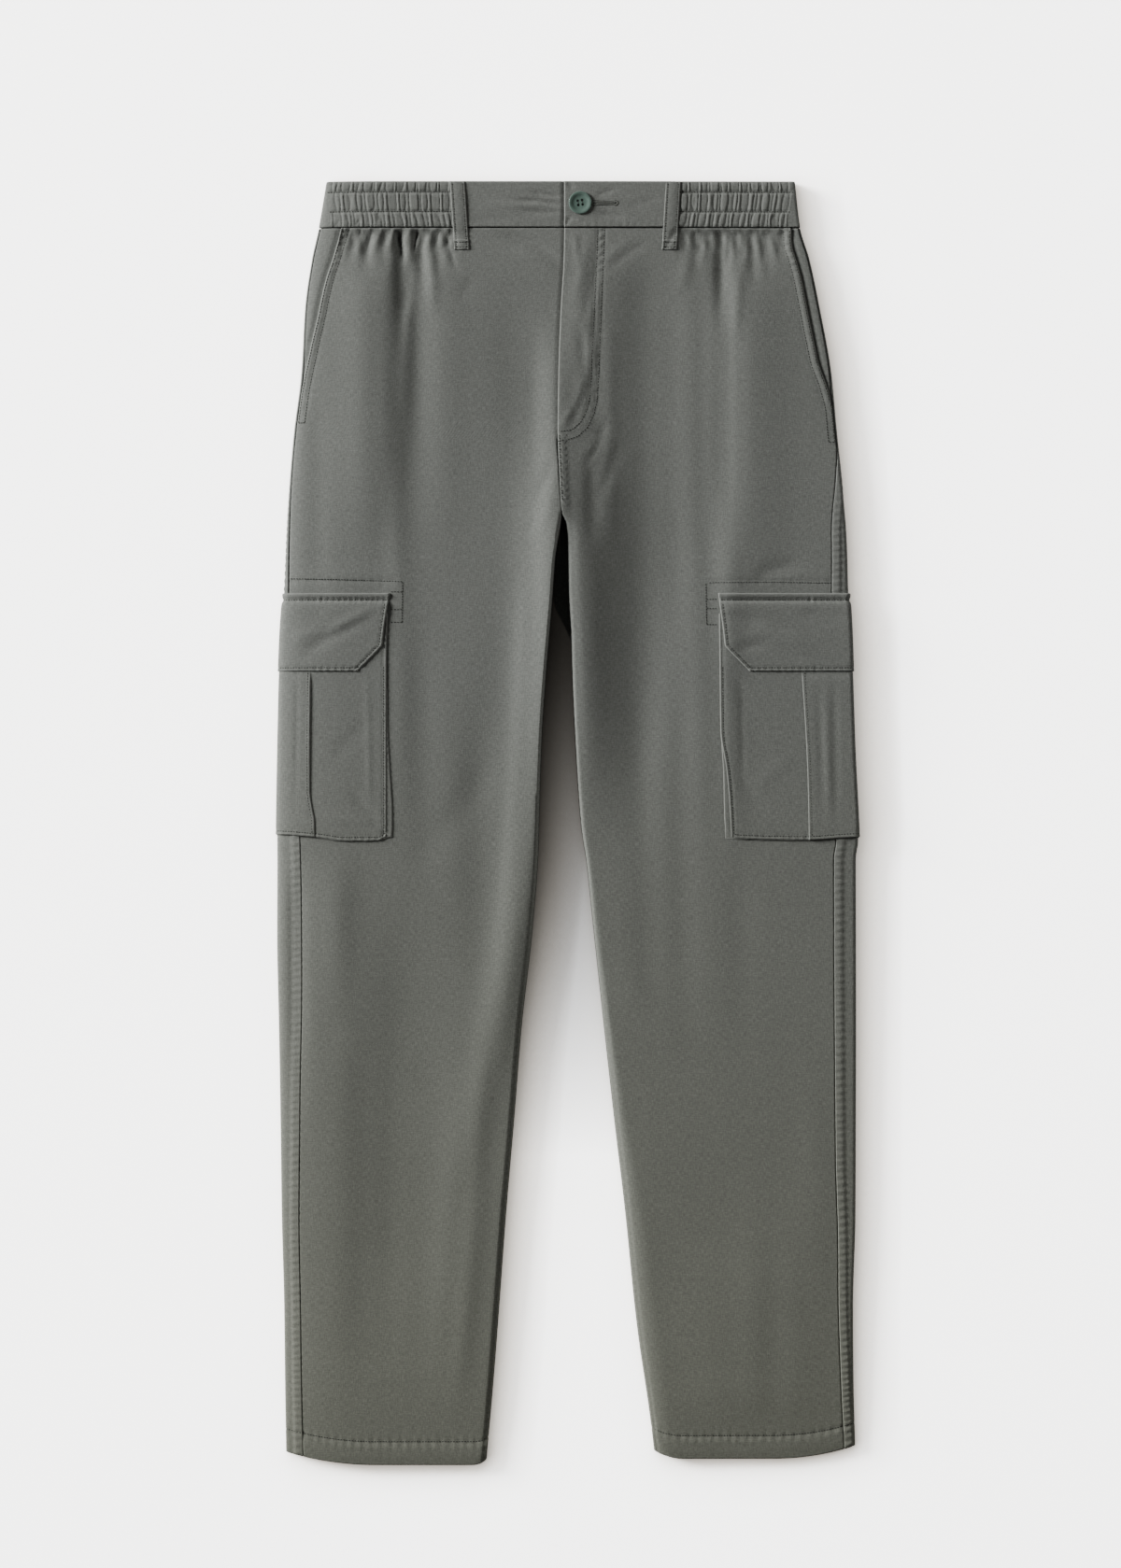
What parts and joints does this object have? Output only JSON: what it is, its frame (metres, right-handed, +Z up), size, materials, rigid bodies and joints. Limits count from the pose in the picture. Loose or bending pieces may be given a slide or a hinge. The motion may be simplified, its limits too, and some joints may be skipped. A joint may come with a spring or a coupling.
{
  "type": "cargo pants laid flat",
  "caption": "Cargo pants laid flat on their back: straight legs, button fly, part-elasticated waistband with belt loops, slanted hip pockets and flapped cargo pockets with bellows.",
  "frame": {"origin": "centre of the bounding box at its bottom, on the surface the garment lies on", "axes": "+Y from the hems towards the waist, +Z up out of the front, +X towards the wearer's left"},
  "size_m": [0.4806, 1.0514, 0.0237],
  "materials": {
    "cloth": "matte washed cotton twill, grey-green",
    "button": "satin dark green-grey button"
  },
  "bodies": {
    "root": {"front_right": "cloth", "front_left": "cloth", "back_right": "cloth", "back_left": "cloth", "pocket_facing_right": "cloth", "pocket_facing_left": "cloth", "waistband_front_right": "cloth", "waistband_front_left": "cloth", "waistband_elastic_right": "cloth", "waistband_elastic_left": "cloth", "waistband_back": "cloth", "belt_loop_front_right": "cloth", "belt_loop_front_left": "cloth", "belt_loop_back_right": "cloth", "belt_loop_back_left": "cloth", "fly_button": "button", "cargo_bag_right": "cloth", "cargo_bag_left": "cloth", "cargo_gusset_right": "cloth", "cargo_gusset_left": "cloth", "cargo_flap_right": "cloth", "cargo_flap_left": "cloth"}
  },
  "joints": []
}
